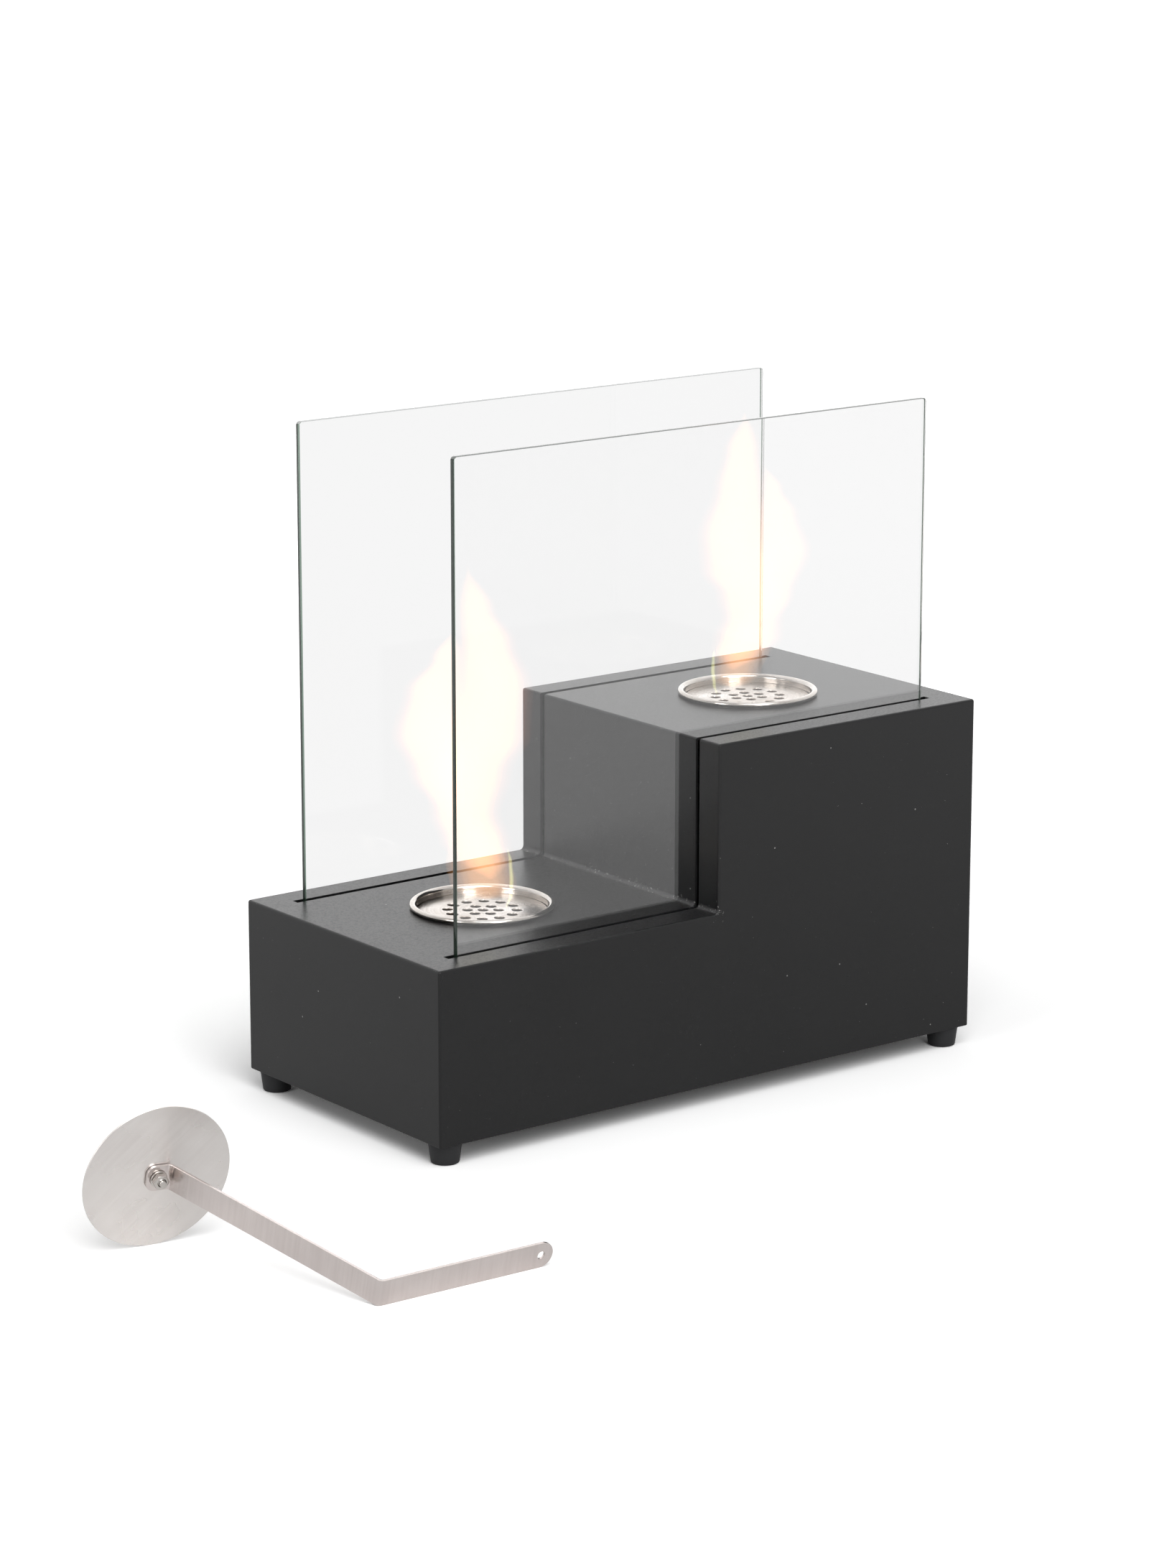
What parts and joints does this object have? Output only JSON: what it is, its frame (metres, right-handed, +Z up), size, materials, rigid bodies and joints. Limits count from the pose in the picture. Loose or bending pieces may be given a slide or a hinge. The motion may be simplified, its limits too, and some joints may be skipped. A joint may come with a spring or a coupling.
{
  "type": "bioethanol fireplace",
  "caption": "Stepped tabletop bioethanol fireplace: a steel casing on rubber feet, burner cups at a low and a high level between glass panes, and a flame snuffer.",
  "frame": {"origin": "middle of the footprint of the whole set, casing and snuffer together, on the surface that it stands on", "axes": "+X along the casing from the low step to the high step, +Y from the front pane to the back pane, +Z up"},
  "size_m": [0.56, 0.3152, 0.352],
  "materials": {
    "powder_coat": "fine satin black powder coat on steel sheet",
    "foot_rubber": "matt black moulded rubber",
    "pad_rubber": "matt heatproof rubber strip",
    "clear_glass": "clear tempered glass with green ground edges",
    "polished_steel": "polished stainless steel",
    "brushed_steel": "finely brushed stainless steel",
    "ceramic_wool": "off-white matt fibre",
    "zinc_plate": "bright zinc plate"
  },
  "bodies": {
    "casing": {"casing_shell": "powder_coat", "bottom_plate": "powder_coat", "corner_bracket_front_left": "zinc_plate", "rubber_foot_front_left": "foot_rubber", "foot_screw_front_left": "zinc_plate", "foot_washer_front_left": "zinc_plate", "foot_nut_front_left": "zinc_plate", "corner_bracket_front_right": "zinc_plate", "rubber_foot_front_right": "foot_rubber", "foot_screw_front_right": "zinc_plate", "foot_washer_front_right": "zinc_plate", "foot_nut_front_right": "zinc_plate", "corner_bracket_back_left": "zinc_plate", "rubber_foot_back_left": "foot_rubber", "foot_screw_back_left": "zinc_plate", "foot_washer_back_left": "zinc_plate", "foot_nut_back_left": "zinc_plate", "corner_bracket_back_right": "zinc_plate", "rubber_foot_back_right": "foot_rubber", "foot_screw_back_right": "zinc_plate", "foot_washer_back_right": "zinc_plate", "foot_nut_back_right": "zinc_plate", "glass_channel_front": "zinc_plate", "glass_pad_front": "pad_rubber", "glass_channel_back": "zinc_plate", "glass_pad_back": "pad_rubber"},
    "front_pane": {"front_glass": "clear_glass"},
    "back_pane": {"back_glass": "clear_glass"},
    "low_burner": {"low_burner_cup": "polished_steel", "low_burner_lid": "brushed_steel", "low_burner_wool": "ceramic_wool"},
    "high_burner": {"high_burner_cup": "polished_steel", "high_burner_lid": "brushed_steel", "high_burner_wool": "ceramic_wool"},
    "snuffer": {"snuffer_handle": "brushed_steel", "snuffer_disc": "brushed_steel", "snuffer_screw": "zinc_plate", "snuffer_washer": "zinc_plate", "snuffer_nut": "zinc_plate"}
  },
  "joints": [
    {"name": "front_glass_lift", "type": "slide", "parent": "casing", "child": "front_pane", "axis": [0, 0, 1], "range_m": [0, 0.13]},
    {"name": "back_glass_lift", "type": "slide", "parent": "casing", "child": "back_pane", "axis": [0, 0, 1], "range_m": [0, 0.13]},
    {"name": "low_burner_lift", "type": "slide", "parent": "casing", "child": "low_burner", "axis": [0, 0, 1], "range_m": [0, 0.07]},
    {"name": "high_burner_lift", "type": "slide", "parent": "casing", "child": "high_burner", "axis": [0, 0, 1], "range_m": [0, 0.07]},
    {"name": "snuffer_lift", "type": "slide", "parent": "casing", "child": "snuffer", "axis": [0, 0, 1], "range_m": [0, 0.2]}
  ]
}
